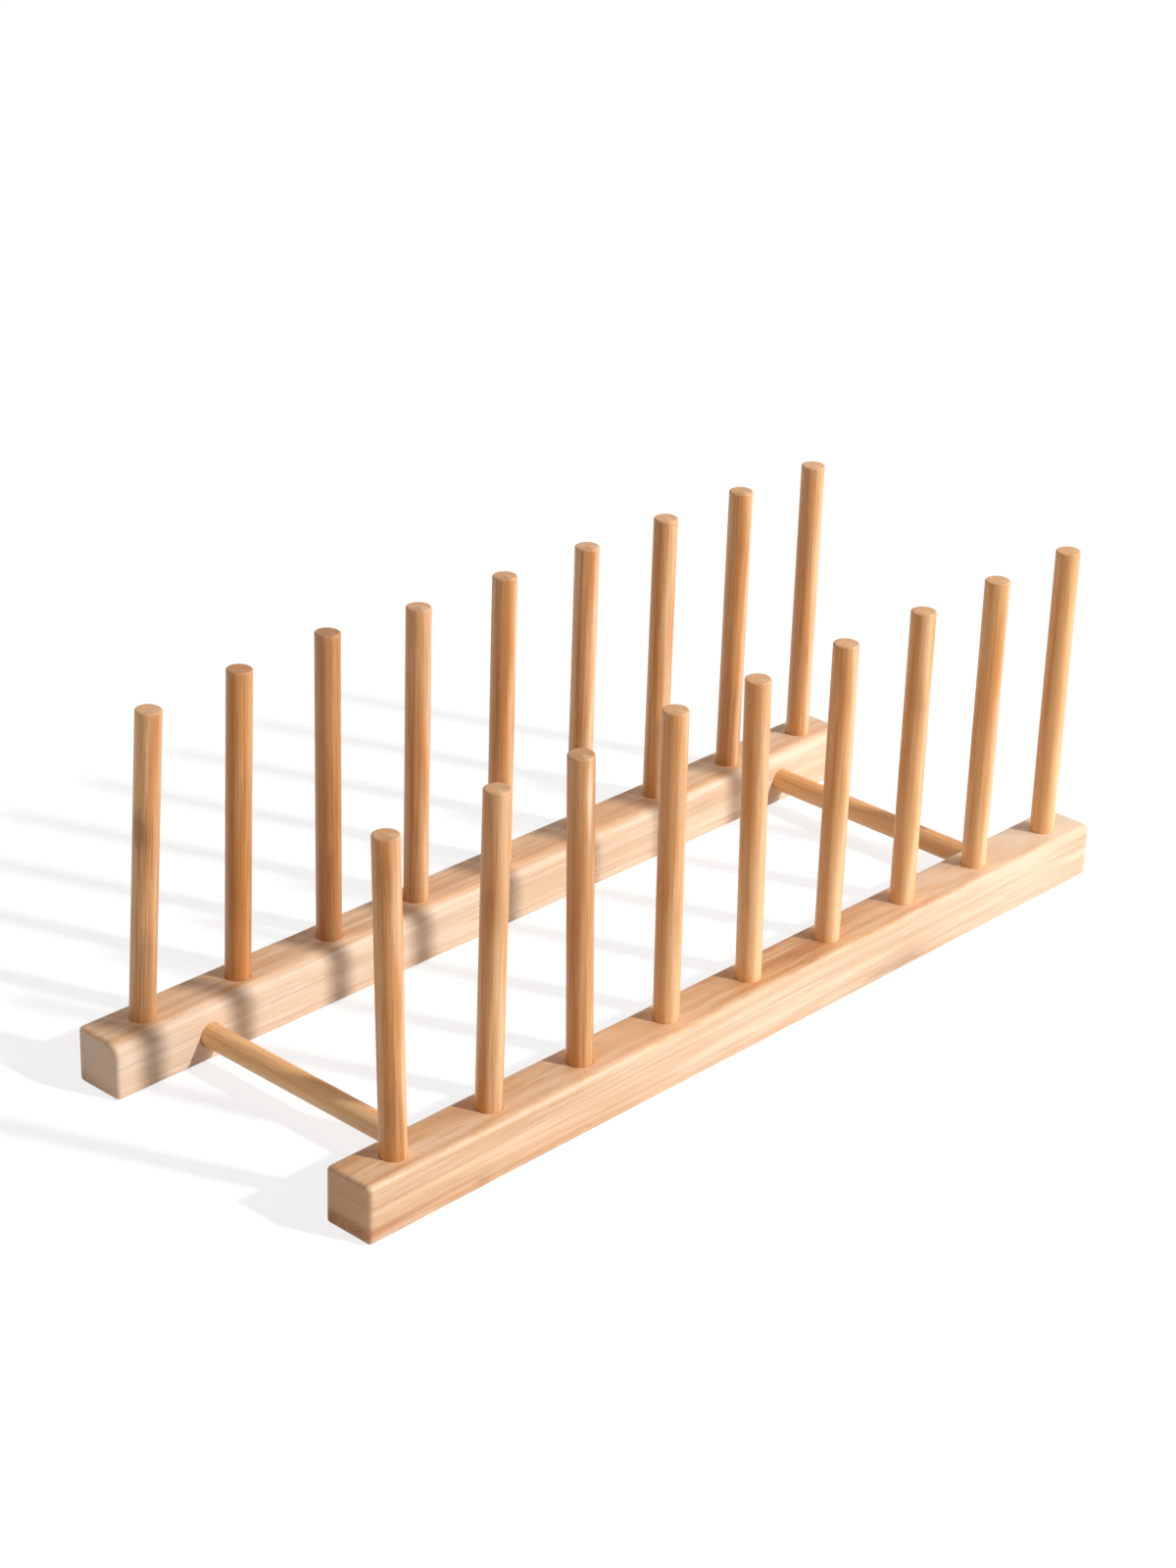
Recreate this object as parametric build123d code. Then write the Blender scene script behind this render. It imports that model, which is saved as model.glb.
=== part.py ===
from build123d import *
import os

# Bamboo rack for pot lids: two rails, a row of pegs on each, and two cross dowels.
# Millimetres. X runs along the rails, the front rail is at -Y, and Z = 0 is the tabletop.
# The origin is at the middle of the rack, on the tabletop.

rail_length = 340.0
rail_width = 18.4
rail_height = 19.0
rack_width = 128.4

pegs_per_rail = 9
peg_diameter = 8.3
peg_rise = 102.5
near_end_margin = 17.7
far_end_margin = 15.3
floor_under_peg = 5.5

dowel_diameter = 8.0
dowel_axis_height = 9.0
wall_behind_dowel = 4.5

# Room for glue between a peg or dowel and its hole.
glue_gap = 0.05

# A few pegs stand askew. By number from the near end: degrees off upright towards +X and
# towards +Y, and millimetres by which the peg stands further out of a shallower hole.
front_askew = {
    1: (-1.9, 0.1, 0.0),
    2: (0.5, 0.0, 0.0),
    3: (-2.0, 0.0, -0.2),
    4: (0.1, 1.0, 0.3),
    5: (-1.4, 0.3, 0.0),
}
back_askew = {
    1: (2.0, -1.4, -0.4),
    2: (1.7, 0.4, 0.3),
    3: (1.3, 1.6, 0.8),
}

# Sanded edges. The top edge towards -Y is rounded over more than the others on both rails.
edge_round = 1.8
front_top_edge_round = 2.4
back_top_edge_round = 5.4
rail_end_round = 1.6
peg_tip_round = 0.6
lead_in_chamfer = 0.8

peg_pitch = (rail_length - near_end_margin - far_end_margin) / (pegs_per_rail - 1)
first_peg_x = near_end_margin - rail_length / 2
peg_x = [first_peg_x + i * peg_pitch for i in range(pegs_per_rail)]
peg_hole_depth = rail_height - floor_under_peg
rail_y = (rack_width - rail_width) / 2

# A cross dowel lies halfway between the last two pegs at each end.
near_dowel_x = (peg_x[0] + peg_x[1]) / 2
far_dowel_x = (peg_x[-2] + peg_x[-1]) / 2
dowel_hole_span = rack_width - 2 * wall_behind_dowel


def section(top_edge_round):
    """Section across a rail, standing on local Y = 0: all corners sanded alike, then the top
    corner towards local +X rounded over."""
    sanded = Pos(0, rail_height / 2) * RectangleRounded(rail_width, rail_height, edge_round)
    corner = RectangleRounded(2 * rail_width, 2 * rail_height, top_edge_round)
    return sanded & Pos(-rail_width / 2, 0) * corner


def bar(y, top_edge_round):
    """The section drawn out along X at a rail's place, rounded over towards -Y, ends eased."""
    solid = extrude(Plane.YZ * section(top_edge_round), rail_length / 2, both=True)
    faces_along = solid.faces().sort_by(Axis.X)
    eased = fillet(faces_along[0].edges() + faces_along[-1].edges(), rail_end_round)
    return Pos(0, y, 0) * Rot(0, 0, 180) * eased


def peg_feet(y, askew):
    """Where each peg's foot stands in a rail, turned by the peg's lean about the rail's top."""
    feet = []
    for number, x in enumerate(peg_x, start=1):
        lean_x, lean_y, further_out = askew.get(number, (0, 0, 0))
        turned = Pos(x, y, rail_height) * Rot(-lean_y, lean_x, 0)
        feet.append(turned * Pos(0, 0, further_out - peg_hole_depth))
    return feet


def drilled(rail, feet):
    """Blind holes for the pegs from the top, and for both cross dowels from the inner side."""
    peg_hole = extrude(Circle(peg_diameter / 2 + glue_gap), rail_height)
    for foot in feet:
        rail -= foot * peg_hole
    dowel_holes = Rot(90, 0, 0) * Cylinder(dowel_diameter / 2 + glue_gap, dowel_hole_span)
    for x in (near_dowel_x, far_dowel_x):
        rail -= Pos(x, 0, dowel_axis_height) * dowel_holes
    return rail


def peg():
    """Upright peg with its foot on local Z = 0, a sanded tip and a chamfered foot."""
    rod = extrude(Circle(peg_diameter / 2), peg_hole_depth + peg_rise)
    rod = fillet(rod.edges().sort_by(Axis.Z)[-1], peg_tip_round)
    return chamfer(rod.edges().sort_by(Axis.Z)[0], lead_in_chamfer)


def cross_dowel():
    """Dowel along Y, centred, with both ends chamfered and a glue gap short of their holes."""
    rod = Rot(90, 0, 0) * Cylinder(dowel_diameter / 2, dowel_hole_span - 2 * glue_gap)
    ends = rod.faces().sort_by(Axis.Y)
    return chamfer(ends[0].edges() + ends[-1].edges(), lead_in_chamfer)


front_feet = peg_feet(-rail_y, front_askew)
back_feet = peg_feet(rail_y, back_askew)
front_bar = bar(-rail_y, front_top_edge_round)
back_bar = bar(rail_y, back_top_edge_round)

pieces = {
    "front_rail": drilled(front_bar, front_feet),
    "back_rail": drilled(back_bar, back_feet),
    "near_cross_dowel": Pos(near_dowel_x, 0, dowel_axis_height) * cross_dowel(),
    "far_cross_dowel": Pos(far_dowel_x, 0, dowel_axis_height) * cross_dowel(),
}
for row, feet in (("front", front_feet), ("back", back_feet)):
    for number, foot in enumerate(feet, start=1):
        pieces[f"{row}_peg_{number}"] = foot * peg()

os.makedirs("parts", exist_ok=True)
for node, piece in pieces.items():
    export_step(piece, f"parts/{node}.step")
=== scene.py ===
import math

import bpy
import numpy as np
from mathutils import Matrix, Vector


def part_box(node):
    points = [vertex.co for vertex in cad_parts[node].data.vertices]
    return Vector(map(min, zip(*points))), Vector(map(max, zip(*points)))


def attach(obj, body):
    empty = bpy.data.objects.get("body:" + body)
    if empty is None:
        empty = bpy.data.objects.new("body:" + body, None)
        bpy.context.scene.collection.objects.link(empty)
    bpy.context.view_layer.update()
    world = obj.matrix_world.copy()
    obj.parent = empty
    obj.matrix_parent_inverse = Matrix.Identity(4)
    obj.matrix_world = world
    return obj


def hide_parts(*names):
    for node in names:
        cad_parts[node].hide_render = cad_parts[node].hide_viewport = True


# Bamboo rack for pot lids: two laminated rails, nine pegs on each, and two cross dowels.
# Shapes are worked out in millimetres and put into their meshes in metres.

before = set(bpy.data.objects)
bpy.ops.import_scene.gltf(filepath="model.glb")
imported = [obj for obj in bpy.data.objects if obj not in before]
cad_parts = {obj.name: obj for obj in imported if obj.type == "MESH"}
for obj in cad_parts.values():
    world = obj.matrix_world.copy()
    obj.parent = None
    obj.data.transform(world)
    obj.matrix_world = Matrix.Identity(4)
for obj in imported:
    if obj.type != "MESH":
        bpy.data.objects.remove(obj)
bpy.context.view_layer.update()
mm = 0.001
print("frame loaded:", len(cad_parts), "nodes")


# Shapes: a closed surface is a stack of rings, with a point at each end that closes it.

meshLook = {
    "sharpAbove": 40.0,  # degrees between two faces, from which their edge is shaded sharp
    "cutFrom": 0.35,  # share of the normal along the fibres where the cut sets in
    "cutWithin": 0.45,  # and over which it comes in fully
}
roundAngles = np.radians([18, 36, 54, 72, 90])  # of the rings round a peg's tip and a rail's end


def wander(along, seed, lengths):
    # An uneven line between -1 and 1: the mean of sine waves of the given lengths,
    # each started at its own seeded phase.
    phases = np.random.default_rng(seed).uniform(0, 2 * np.pi, len(lengths))
    turns = np.asarray(along, float)[..., None] / np.array(lengths, float)
    return np.sin(2 * np.pi * turns + phases).mean(-1)


def loopFaces(loops):
    # Four-sided faces between neighbouring loops of vertex numbers, loops[i, j].
    after = np.roll(loops, -1, axis=1)
    return np.stack([loops[:-1], after[:-1], after[1:], loops[1:]], -1)


def fanFaces(loop, pole):
    # Triangles from each side of a loop of vertex numbers to one vertex.
    return np.stack([loop, np.roll(loop, -1), np.full(len(loop), pole)], -1)


def stackRings(rings, firstPole, lastPole):
    # Vertices and faces of rings[i, j], with a fan of triangles from each end ring to its pole.
    # Rings run anticlockwise seen from the last pole.
    loops = np.arange(rings.shape[0] * rings.shape[1]).reshape(rings.shape[:2])
    points = np.concatenate([rings.reshape(-1, 3), [firstPole], [lastPole]])
    firstFan = fanFaces(loops[0], loops.size)[:, ::-1]
    lastFan = fanFaces(loops[-1], loops.size + 1)
    return points, loopFaces(loops), np.concatenate([firstFan, lastFan])


def addObject(name, data):
    added = bpy.data.objects.new(name, data)
    bpy.context.scene.collection.objects.link(added)
    return added


def makePiece(name, points, faces, grainPlace, grainAxis, edge, tone, shares, material):
    # One mesh object at the origin. Its attributes tell the material where each point lies in
    # the wood, its tone (seed, darkness and warmth), three shares that each material reads in
    # its own way, how far the surface cuts across the fibres, and where it is an eased edge.
    mesh = bpy.data.meshes.new(name)
    mesh.from_pydata(points * mm, [], faces)
    mesh.validate()
    mesh.shade_smooth()
    mesh.set_sharp_from_angle(angle=math.radians(meshLook["sharpAbove"]))
    normals = np.zeros(len(mesh.vertices) * 3)
    mesh.vertex_normals.foreach_get("vector", normals)
    across = np.abs(normals.reshape(-1, 3) @ grainAxis)
    endCut = np.clip((across - meshLook["cutFrom"]) / meshLook["cutWithin"], 0, 1)
    for label, values in (("grainPlace", grainPlace), ("pieceTone", tone), ("tintShares", shares),
                          ("endCut", endCut), ("easedEdge", edge)):
        values = np.asarray(values, np.float32)
        kind, field = ("FLOAT_VECTOR", "vector") if values.ndim == 2 else ("FLOAT", "value")
        attribute = mesh.attributes.new(label, kind, "POINT")
        attribute.data.foreach_set(field, values.ravel())
    mesh.materials.append(material)
    return addObject(name, mesh)


def rodAxis(node):
    # Foot, tip, direction and radius of a round CAD rod, and whether it stands upright. Its axis
    # joins the middles of the vertices in its two halves.
    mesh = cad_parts[node].data
    found = np.zeros(len(mesh.vertices) * 3)
    mesh.vertices.foreach_get("co", found)
    found = np.unique(np.round(found.reshape(-1, 3) / mm, 3), axis=0)
    longest = np.argmax(np.ptp(found, axis=0))
    upper = found[:, longest] > found[:, longest].mean()
    middle = found[upper].mean(0)
    direction = middle - found[~upper].mean(0)
    direction /= np.linalg.norm(direction)
    reach = (found - middle) @ direction
    foot = middle + direction * reach.min()
    tip = middle + direction * reach.max()
    radius = np.linalg.norm(found - middle - np.outer(reach, direction), axis=1).max()
    return foot, tip, direction, radius, longest == 2


# Nodes: small helpers that add a shader node or a calculation, and give its output.

def feed(tree, socket, value):
    if isinstance(value, bpy.types.NodeSocket):
        tree.links.new(value, socket)
    else:
        socket.default_value = value


def put(tree, kind, values=None, **settings):
    made = tree.nodes.new("ShaderNode" + kind)
    for name, value in settings.items():
        setattr(made, name, value)
    for name, value in (values or {}).items():
        feed(tree, made.inputs[name], value)
    return made


def calc(tree, operation, *values, clamp=False):
    made = put(tree, "Math", dict(enumerate(values)), operation=operation, use_clamp=clamp)
    return made.outputs[0]


def addUp(tree, start, *terms):
    # The start value, plus each term's value times its share.
    for value, share in terms:
        start = calc(tree, "MULTIPLY_ADD", value, share, start)
    return start


def rise(tree, value, low, high, toLow=0.0, toHigh=1.0):
    # A soft step from toLow to toHigh while the value goes from low to high.
    made = put(tree, "MapRange", {"Value": value, "From Min": low, "From Max": high,
                                  "To Min": toLow, "To Max": toHigh}, interpolation_type="SMOOTHSTEP")
    return made.outputs["Result"]


def blendColour(tree, factor, first, second, mode="MIX"):
    made = put(tree, "Mix", {0: factor, 6: first, 7: second}, data_type="RGBA", blend_type=mode)
    return made.outputs[2]


def addPlaces(tree, first, second):
    return put(tree, "VectorMath", {0: first, 1: second}, operation="ADD").outputs[0]


def splitPlace(tree, vector):
    return put(tree, "SeparateXYZ", {0: vector}).outputs


def stretched(tree, place, lengthAlong, widthAcross):
    # Wood coordinates divided by a length along the fibres and a width across them.
    size = put(tree, "CombineXYZ", {"X": lengthAlong, "Y": widthAcross, "Z": widthAcross})
    made = put(tree, "VectorMath", {0: place, 1: size.outputs[0]}, operation="DIVIDE")
    return made.outputs[0]


def noise(tree, place, lengthAlong, widthAcross, detail=2.0, roughness=0.5):
    # Noise drawn out along the fibres, in patches of about the given size in mm.
    made = put(tree, "TexNoise", {"Vector": stretched(tree, place, lengthAlong, widthAcross), "Scale": 1.0,
                                  "Detail": detail, "Roughness": roughness}, noise_dimensions="3D")
    return made.outputs["Fac"]


def newGroup(name, inputs, outputs):
    # A shader group. An input whose default is None is a vector, and one with four numbers a
    # colour. Only an output that is named Color is one.
    tree = bpy.data.node_groups.new(name, "ShaderNodeTree")
    for label, value in inputs.items():
        kind = "Vector" if value is None else "Float" if isinstance(value, float) else "Color"
        socket = tree.interface.new_socket(label, in_out="INPUT", socket_type="NodeSocket" + kind)
        if value is not None:
            socket.default_value = value
    for label in outputs:
        kind = "Color" if label == "Color" else "Float"
        tree.interface.new_socket(label, in_out="OUTPUT", socket_type="NodeSocket" + kind)
    entry = tree.nodes.new("NodeGroupInput")
    leave = tree.nodes.new("NodeGroupOutput")
    return tree, entry.outputs, leave.inputs


def useGroup(tree, group, values):
    return put(tree, "Group", values, node_tree=group).outputs


def emptyTree(owner):
    owner.use_nodes = True
    owner.node_tree.nodes.clear()
    return owner.node_tree


def srgb(red, green, blue):
    # A colour written as it looks on screen, 0 to 255, as the linear value that a shader takes.
    shown = np.array([red, green, blue]) / 255
    linear = np.where(shown <= 0.04045, shown / 12.92, ((shown + 0.055) / 1.055) ** 2.4)
    return (*linear.tolist(), 1.0)


# Shader groups that every bamboo material shares. Lengths in them are millimetres.

grainLook = {
    "bundleDots": (0.14, 0.38),  # share of a cell where a dark bundle is full, and where it ends
    "clusters": (70.0, 3.0),  # length and width of a cluster of bundles
    "blushesApart": (333.0, 55.0, 77.0),  # where the blushes are drawn, so that no streak is like them
    "tanFrom": (0.55, 0.45),  # shares of streaks and clouds in the tan ground
    "knuckleDark": 0.6,  # most that a knuckle is darkened
    "cutDots": 0.4,  # how dark the bundles are on the cut across the fibres
    "cutTan": 0.4,
    "cutDarker": 1.8,  # times the piece's own tone where that is darker
    "cutLighter": 0.8,
    "warmHue": -0.004,  # turn of the hue, and added saturation, for a warmth of 1
    "warmSaturation": 0.18,
    "sanded": (3.0, 0.12),  # length and width of the scratches of sanding
    "dents": (9.0, 4.0),
    "wear": (12.0, 2.5),  # length and width of the patches of handled edges
    "wearAmount": 0.45,
}
# Height that each mask gives the surface, and what it adds to the roughness.
maskHeights = {"Fibres": 0.012, "Bundles": -0.022, "Sanded": 0.01, "Dents": 0.05, "Knuckle": 0.03}
maskRoughness = {"Bundles": 0.12, "Fibres": 0.1, "Streaks": 0.08, "Wear": -0.08}
woodColours = ("Pale", "Tan", "Blush", "Dark", "Cut")


def fibreGroup():
    # Masks of the grain, all drawn out along the fibres: fine fibres, dark bundles that come in
    # clusters, short flecks, then streaks, blushes and clouds, which lie apart and are wider.
    tree, given, out = newGroup(
        "bambooFibres",
        {"Place": None, "Bundle Spacing": 0.9, "Bundle Length": 45.0, "Streak Width": 2.2,
         "Streak Length": 90.0, "Blush Width": 3.6, "Blush Length": 120.0, "Cloud Width": 9.0,
         "Cloud Length": 150.0},
        ("Bundles", "Fibres", "Flecks", "Streaks", "Blushes", "Clouds"))
    place = given["Place"]
    cells = put(tree, "TexVoronoi", {
        "Vector": stretched(tree, place, given["Bundle Length"], given["Bundle Spacing"]),
        "Scale": 1.0, "Randomness": 1.0}, voronoi_dimensions="3D", feature="F1")
    bundles = rise(tree, cells.outputs["Distance"], *grainLook["bundleDots"], toLow=1.0, toHigh=0.0)
    clusters = noise(tree, place, *grainLook["clusters"], detail=1.0)
    clusters = rise(tree, clusters, 0.4, 0.6, toLow=0.25)
    feed(tree, out["Bundles"], calc(tree, "MULTIPLY", bundles, clusters))
    apart = addPlaces(tree, place, grainLook["blushesApart"])
    # place, length, width, detail and roughness of the noise, and the values between which it shows
    for mask, where, length, width, detail, roughness, low, high in (
            ("Fibres", place, 14.0, 0.26, 2.0, 0.6, 0.3, 0.7),
            ("Flecks", place, 8.0, 0.5, 1.0, 0.5, 0.62, 0.76),
            ("Streaks", place, given["Streak Length"], given["Streak Width"], 3.0, 0.55, 0.36, 0.64),
            ("Blushes", apart, given["Blush Length"], given["Blush Width"], 2.0, 0.5, 0.47, 0.68),
            ("Clouds", place, given["Cloud Length"], given["Cloud Width"], 1.0, 0.5, 0.32, 0.68)):
        feed(tree, out[mask], rise(tree, noise(tree, where, length, width, detail, roughness), low, high))
    return tree


def knuckleGroup():
    # The brown patches where a strip of the cane had its knuckles, and on some rods long patches of painted
    # shade, frayed along the fibres.
    tree, given, out = newGroup("bambooKnucklesAndShade", {"Place": None, "Mark": 0.0}, ["Knuckle"])
    frayed = rise(tree, noise(tree, given["Place"], 16.0, 1.3, 2.0, 0.6), 0.3, 0.7, 0.45, 1.25)
    feed(tree, out["Knuckle"], calc(tree, "MULTIPLY", given["Mark"], frayed, clamp=True))
    return tree


def colourGroup():
    # Colour of the wood from its masks: pale ground, tan streaks, blushes, dark lines and
    # knuckles, then the piece's own tone, the duller, dotted cut across the fibres, and warmth.
    tree, given, out = newGroup(
        "bambooColour",
        {**dict.fromkeys(woodColours, srgb(200, 160, 120)), "Bundles": 0.0, "Fibres": 0.5,
         "Flecks": 0.0, "Streaks": 0.5, "Blushes": 0.0, "Clouds": 0.5, "Knuckle": 0.0, "End Cut": 0.0,
         "Tone": 0.0, "Warmth": 0.0, "Blush Strength": 0.4, "Bundle Strength": 0.3,
         "Fleck Strength": 0.3, "Fibre Strength": 0.12, "Least Tan": 0.0},
        ["Color"])

    def times(value, share, clamp=False):
        return calc(tree, "MULTIPLY", value, share, clamp=clamp)

    streakShare, cloudShare = grainLook["tanFrom"]
    ground = addUp(tree, 0.0, (given["Streaks"], streakShare), (given["Clouds"], cloudShare))
    tanShare = rise(tree, ground, 0.0, 1.0, given["Least Tan"], 1.0)
    lines = 0.0
    for mask in ("Bundle", "Fleck", "Fibre"):
        lines = calc(tree, "MAXIMUM", lines, times(given[mask + "s"], given[mask + " Strength"]))
    darker = calc(tree, "MAXIMUM", given["Tone"], 0.0)
    lighter = calc(tree, "MAXIMUM", times(given["Tone"], -1.0), 0.0)
    colour = given["Pale"]
    for factor, second in ((tanShare, "Tan"), (times(given["Blushes"], given["Blush Strength"]), "Blush"),
                           (lines, "Dark"), (times(given["Knuckle"], grainLook["knuckleDark"]), "Dark"),
                           (darker, "Dark"), (lighter, "Pale")):
        colour = blendColour(tree, factor, colour, given[second])
    cut = given["Cut"]
    for factor, second in ((times(given["Streaks"], grainLook["cutTan"]), "Tan"),
                           (times(given["Bundles"], grainLook["cutDots"]), "Dark"),
                           (times(darker, grainLook["cutDarker"], clamp=True), "Dark"),
                           (times(lighter, grainLook["cutLighter"]), "Pale")):
        cut = blendColour(tree, factor, cut, given[second])
    warm = put(tree, "HueSaturation", {
        "Hue": addUp(tree, 0.5, (given["Warmth"], grainLook["warmHue"])),
        "Saturation": addUp(tree, 1.0, (given["Warmth"], grainLook["warmSaturation"])),
        "Value": 1.0, "Color": blendColour(tree, given["End Cut"], colour, cut)})
    feed(tree, out["Color"], warm.outputs["Color"])
    return tree


def edgeGroup():
    # Handled edges: the mask of the eased edges, broken up along the wood.
    tree, given, out = newGroup("handledEdges", {"Place": None, "Eased Edge": 0.0, "Amount": 0.5}, ["Wear"])
    patches = rise(tree, noise(tree, given["Place"], *grainLook["wear"], 3.0, 0.6), 0.35, 0.65)
    mask = calc(tree, "MULTIPLY", given["Eased Edge"], patches)
    feed(tree, out["Wear"], calc(tree, "MULTIPLY", mask, given["Amount"]))
    return tree


def reliefGroup():
    # Height of the sanded surface in millimetres, and how rough it is.
    tree, given, out = newGroup(
        "sandedRelief",
        {"Place": None, "Bundles": 0.0, "Fibres": 0.5, "Streaks": 0.5, "Knuckle": 0.0, "End Cut": 0.0,
         "Wear": 0.0, "Smooth Side": 0.4, "Rough Side": 0.62},
        ("Height", "Roughness"))
    masks = {label: given[label] for label in ("Fibres", "Bundles", "Streaks", "Knuckle", "Wear")}
    masks["Sanded"] = noise(tree, given["Place"], *grainLook["sanded"], 2.0, 0.6)
    masks["Dents"] = noise(tree, given["Place"], *grainLook["dents"])
    heights = [(masks[label], height) for label, height in maskHeights.items()]
    feed(tree, out["Height"], addUp(tree, 0.0, *heights))
    added = [(masks[label], rougher) for label, rougher in maskRoughness.items()]
    rough = addUp(tree, given["Smooth Side"], *added)
    mixed = put(tree, "Mix", {0: given["End Cut"], 2: rough, 3: given["Rough Side"]}, data_type="FLOAT")
    feed(tree, out["Roughness"], mixed.outputs[0])
    return tree


fibres = fibreGroup()
knucklesAndShade = knuckleGroup()
woodColour = colourGroup()
handledEdges = edgeGroup()
sandedRelief = reliefGroup()
print("shader groups made")

railWood = {
    "pale": srgb(240, 208, 177),
    "tan": srgb(218, 175, 132),
    "blush": srgb(216, 164, 124),
    "dark": srgb(150, 102, 62),
    "cut": srgb(216, 170, 132),
    "worn": srgb(234, 202, 168),
    "smoothSide": 0.38,  # roughness between the fibres
    "layerTops": (5.2, 12.2),  # mm above the table, where one strip is glued on the next
    "layerWaver": 0.5,  # mm by which that height wavers
    "glueLine": (0.05, 0.22),  # mm, half the width of the line between strips, full and faded
    "lineShows": (0.06, 0.4),  # least and most share of the line that shows
    "stripSeed": 0.17,  # spreads the rails' seeds, before the strips' 0, 1 and 2 are added
    "stripSpread": (900.0, 70.0, 40.0),  # mm of cane within which the place of a strip is drawn
    "grainSlope": 0.04,  # range of mm per mm by which a strip's grain runs up or down
    "stripTone": 0.1,  # range of darkness among the strips
    "lowestTint": srgb(218, 178, 136),
    "lowestRagged": 2.4,  # mm over which the top of the lowest strip's tint is uneven
    "lowestSoft": (0.5, 1.6),  # mm, half the softness of that top, and what the end's face adds
    "topTint": srgb(248, 229, 206),
    "topPatches": (-0.12, 0.14),  # darkness of the patches on the top
}

pegWood = {
    "pale": srgb(250, 206, 154),
    "tan": srgb(218, 154, 97),
    "blush": srgb(208, 134, 78),
    "dark": srgb(130, 76, 34),
    "cut": srgb(224, 178, 138),
    "worn": srgb(204, 154, 110),
    "smoothSide": 0.28,
    "paintedLightGrey": 1.9,  # warmth that the painted highlight lacks, so that it shows whiter
}

dowelWood = {
    "pale": srgb(255, 216, 166),
    "tan": srgb(242, 180, 124),
    "blush": srgb(224, 154, 102),
    "dark": srgb(152, 96, 54),
    "cut": srgb(220, 176, 138),
    "worn": srgb(240, 200, 156),
    "smoothSide": 0.3,
    "paintedLightGrey": 0.0,
}


def startMaterial(name):
    material = bpy.data.materials.new(name)
    tree = emptyTree(material)
    shader = put(tree, "BsdfPrincipled", {"IOR": 1.45})
    put(tree, "OutputMaterial", {"Surface": shader.outputs[0]}, target="ALL")
    return material, tree, shader


def readAttribute(tree, name, output):
    return put(tree, "Attribute", attribute_name=name, attribute_type="GEOMETRY").outputs[output]


def readPiece(tree):
    # What makePiece writes: the place in the wood, the three numbers of the tone, and the shares.
    place, tone, shares = (readAttribute(tree, name, "Vector")
                           for name in ("grainPlace", "pieceTone", "tintShares"))
    return place, splitPlace(tree, tone), splitPlace(tree, shares)


def dressWood(tree, shader, wood, place, tone, warmth, mark, tint, grain, strengths):
    # Joins the shared groups: fibres and knuckles, which carry painted shade on some rods, make the colour,
    # roughness and relief.
    endCut = readAttribute(tree, "endCut", "Fac")
    masks = useGroup(tree, fibres, {"Place": place, **grain})
    knuckleAndShade = useGroup(tree, knucklesAndShade, {"Place": place, "Mark": mark})["Knuckle"]
    grainMasks = {label: masks[label] for label in ("Bundles", "Fibres", "Streaks")}
    colour = useGroup(tree, woodColour, {
        **{label: wood[label.lower()] for label in woodColours}, **grainMasks,
        "Flecks": masks["Flecks"], "Blushes": masks["Blushes"], "Clouds": masks["Clouds"],
        "Knuckle": knuckleAndShade, "End Cut": endCut, "Tone": tone, "Warmth": warmth, **strengths})["Color"]
    for factor, second, mode in tint:
        colour = blendColour(tree, factor, colour, second, mode)
    wear = useGroup(tree, handledEdges, {
        "Place": place, "Eased Edge": readAttribute(tree, "easedEdge", "Fac"),
        "Amount": grainLook["wearAmount"]})["Wear"]
    relief = useGroup(tree, sandedRelief, {
        "Place": place, **grainMasks, "Knuckle": knuckleAndShade, "End Cut": endCut, "Wear": wear,
        "Smooth Side": wood["smoothSide"]})
    bump = put(tree, "Bump", {"Height": relief["Height"], "Strength": 1.0, "Distance": mm})
    feed(tree, shader.inputs["Base Color"], blendColour(tree, wear, colour, wood["worn"]))
    feed(tree, shader.inputs["Roughness"], relief["Roughness"])
    feed(tree, shader.inputs["Normal"], bump.outputs["Normal"])


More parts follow.
